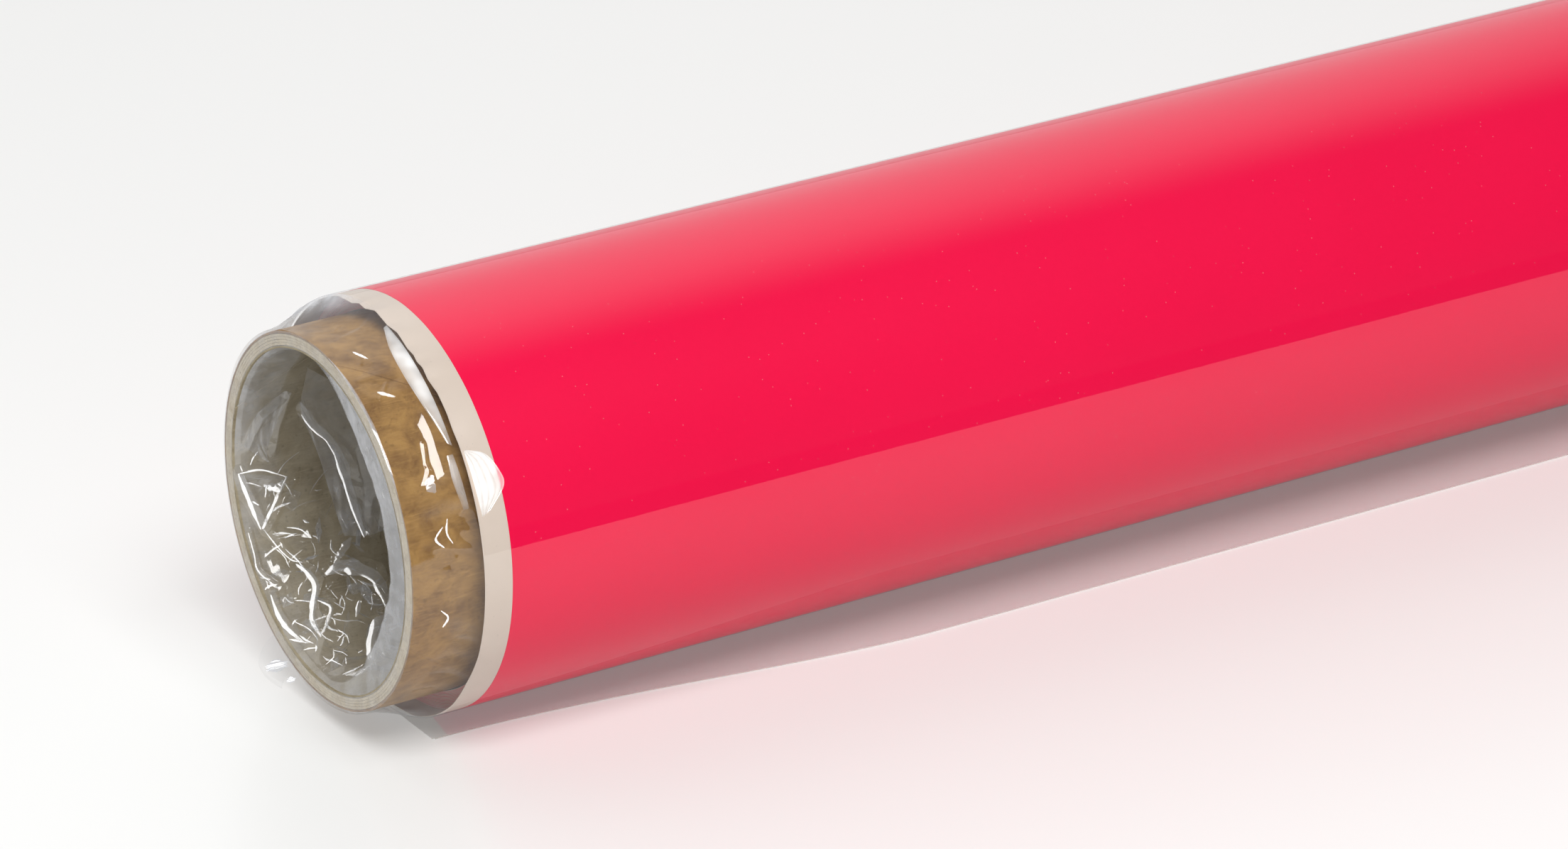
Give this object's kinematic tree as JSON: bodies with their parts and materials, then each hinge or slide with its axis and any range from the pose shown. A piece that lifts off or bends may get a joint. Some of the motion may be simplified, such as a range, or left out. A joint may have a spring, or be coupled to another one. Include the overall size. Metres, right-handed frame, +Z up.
{
  "type": "backdrop roll",
  "caption": "Roll of glossy red backdrop sheet on a spiral-wound paperboard core, sealed in clear shrink film tucked into the core's bore.",
  "frame": {"origin": "under the middle of the roll, on the surface it lies on", "axes": "+X along the roll, +Z up, the film's sealed fin lies on the surface on the -Y side"},
  "size_m": [1.39, 0.0934, 0.0934],
  "materials": {
    "core_liner": "matt grey-brown paperboard",
    "core_board": "matt grey-beige chipboard",
    "core_kraft": "matt brown kraft paper",
    "backing_paper": "off-white silicone-coated paper",
    "red_face": "glossy crimson",
    "tape": "clear adhesive tape",
    "film": "clear shrink film"
  },
  "bodies": {
    "root": {"core_ply_1": "core_liner", "core_ply_2": "core_board", "core_ply_3": "core_board", "core_ply_4": "core_board", "core_ply_5": "core_board", "core_ply_6": "core_kraft", "start_tape_left": "tape", "start_tape_middle": "tape", "start_tape_right": "tape", "wound_backing": "backing_paper", "wound_red_face": "red_face", "cover_backing": "backing_paper", "cover_red_face": "red_face", "tail_tape_left": "tape", "tail_tape_middle": "tape", "tail_tape_right": "tape", "film_sleeve": "film", "film_fin": "film", "film_fin_seal": "film", "film_shoulder_left": "film", "film_shoulder_right": "film", "film_tuck_left": "film", "film_tuck_right": "film", "film_ear_left": "film", "film_ear_right": "film"}
  },
  "joints": []
}
